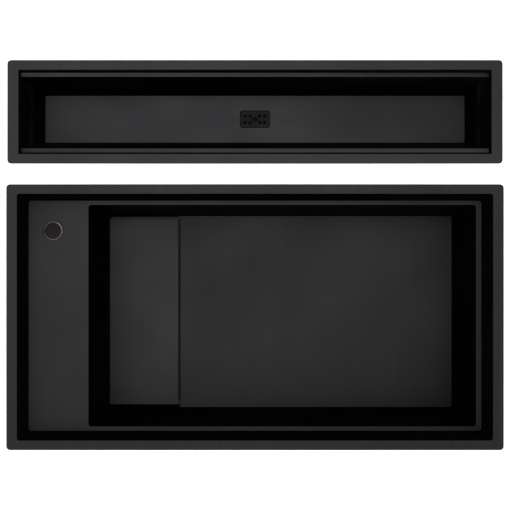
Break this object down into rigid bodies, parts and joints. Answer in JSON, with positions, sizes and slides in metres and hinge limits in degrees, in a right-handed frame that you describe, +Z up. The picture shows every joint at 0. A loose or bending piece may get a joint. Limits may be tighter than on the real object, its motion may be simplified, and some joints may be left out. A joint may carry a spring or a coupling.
{
  "type": "sink and drained channel set",
  "caption": "Black workstation kitchen sink with a covered drain sump, and a matching narrow drained channel behind it, each with its own waste outlet.",
  "frame": {"origin": "middle of the sink cut-out, on the worktop surface (underside of the rim seals)", "axes": "+X along the long side to the right, +Y to the back where the channel is, +Z up out of the worktop"},
  "size_m": [0.9, 0.7056, 0.348],
  "materials": {
    "black_steel": "brushed, black-grey coated",
    "cover_steel": "brushed, black-grey coated",
    "waste_steel": "satin, black-grey coated",
    "zinc_steel": "zinc plated",
    "claw_steel": "zinc plated, pressed",
    "seal_foam": "closed-cell foam",
    "sound_pad": "matt",
    "black_rubber": "matt",
    "plug_plastic": "satin",
    "outlet_plastic": "satin black",
    "pipe_plastic": "satin white"
  },
  "bodies": {
    "sink_set": {"sink_rim": "black_steel", "upper_tub": "black_steel", "ledge_plate": "black_steel", "bowl_walls": "black_steel", "bowl_floor": "black_steel", "drain_sump": "black_steel", "channel_rim": "black_steel", "channel_trough": "black_steel", "channel_end_left": "black_steel", "channel_end_right": "black_steel", "waste_flange": "waste_steel", "tap_backing_plate": "zinc_steel", "sink_clamp_tabs": "zinc_steel", "channel_clamp_tabs": "zinc_steel", "sink_clamp_screws": "zinc_steel", "channel_clamp_screws": "zinc_steel", "sink_rim_seal": "seal_foam", "channel_rim_seal": "seal_foam", "floor_pads": "sound_pad", "wall_pad_front": "sound_pad", "wall_pad_back": "sound_pad", "waste_gasket": "black_rubber", "outlet_gasket": "black_rubber", "waste_lock_nut": "pipe_plastic", "waste_tail": "pipe_plastic", "tail_nut": "pipe_plastic", "channel_outlet": "outlet_plastic"},
    "drain_cover": {"drain_cover": "cover_steel", "cover_legs": "cover_steel", "cover_leg_tips": "black_rubber"},
    "basket": {"basket_strainer": "waste_steel", "basket_seal": "black_rubber", "basket_knob": "waste_steel"},
    "channel_strainer": {"strainer_plate": "cover_steel", "strainer_screw": "cover_steel"},
    "tap_plug": {"tap_hole_plug": "plug_plastic"},
    "sink_claw_front_left": {"sink_claw_front_left": "claw_steel"},
    "sink_claw_front_middle": {"sink_claw_front_middle": "claw_steel"},
    "sink_claw_front_right": {"sink_claw_front_right": "claw_steel"},
    "channel_claw_front_left": {"channel_claw_front_left": "claw_steel"},
    "channel_claw_front_right": {"channel_claw_front_right": "claw_steel"},
    "sink_claw_back_left": {"sink_claw_back_left": "claw_steel"},
    "sink_claw_back_middle": {"sink_claw_back_middle": "claw_steel"},
    "sink_claw_back_right": {"sink_claw_back_right": "claw_steel"},
    "channel_claw_back_left": {"channel_claw_back_left": "claw_steel"},
    "channel_claw_back_right": {"channel_claw_back_right": "claw_steel"}
  },
  "joints": [
    {"name": "cover_lift", "type": "slide", "parent": "sink_set", "child": "drain_cover", "axis": [0, 0, 1], "range_m": [0, 0.25]},
    {"name": "basket_lift", "type": "slide", "parent": "sink_set", "child": "basket", "axis": [0, 0, 1], "range_m": [0, 0.012]},
    {"name": "channel_strainer_lift", "type": "slide", "parent": "sink_set", "child": "channel_strainer", "axis": [0, 0, 1], "range_m": [0, 0.13]},
    {"name": "tap_plug_lift", "type": "slide", "parent": "sink_set", "child": "tap_plug", "axis": [0, 0, 1], "range_m": [0, 0.09]},
    {"name": "sink_claw_front_left_turn", "type": "hinge", "parent": "sink_set", "child": "sink_claw_front_left", "pos_m": [-0.3, -0.223, -0.0427], "axis": [0, 0, -1], "range_deg": [0, 90]},
    {"name": "sink_claw_front_middle_turn", "type": "hinge", "parent": "sink_set", "child": "sink_claw_front_middle", "pos_m": [0, -0.223, -0.0427], "axis": [0, 0, -1], "range_deg": [0, 90]},
    {"name": "sink_claw_front_right_turn", "type": "hinge", "parent": "sink_set", "child": "sink_claw_front_right", "pos_m": [0.3, -0.223, -0.0427], "axis": [0, 0, -1], "range_deg": [0, 90]},
    {"name": "channel_claw_front_left_turn", "type": "hinge", "parent": "sink_set", "child": "channel_claw_front_left", "pos_m": [-0.25, 0.2934, -0.0435], "axis": [0, 0, -1], "range_deg": [0, 90]},
    {"name": "channel_claw_front_right_turn", "type": "hinge", "parent": "sink_set", "child": "channel_claw_front_right", "pos_m": [0.25, 0.2934, -0.0435], "axis": [0, 0, -1], "range_deg": [0, 90]},
    {"name": "sink_claw_back_left_turn", "type": "hinge", "parent": "sink_set", "child": "sink_claw_back_left", "pos_m": [-0.3, 0.223, -0.0427], "axis": [0, 0, 1], "range_deg": [0, 90]},
    {"name": "sink_claw_back_middle_turn", "type": "hinge", "parent": "sink_set", "child": "sink_claw_back_middle", "pos_m": [0, 0.223, -0.0427], "axis": [0, 0, 1], "range_deg": [0, 90]},
    {"name": "sink_claw_back_right_turn", "type": "hinge", "parent": "sink_set", "child": "sink_claw_back_right", "pos_m": [0.3, 0.223, -0.0427], "axis": [0, 0, 1], "range_deg": [0, 90]},
    {"name": "channel_claw_back_left_turn", "type": "hinge", "parent": "sink_set", "child": "channel_claw_back_left", "pos_m": [-0.25, 0.4494, -0.0435], "axis": [0, 0, 1], "range_deg": [0, 90]},
    {"name": "channel_claw_back_right_turn", "type": "hinge", "parent": "sink_set", "child": "channel_claw_back_right", "pos_m": [0.25, 0.4494, -0.0435], "axis": [0, 0, 1], "range_deg": [0, 90]}
  ]
}
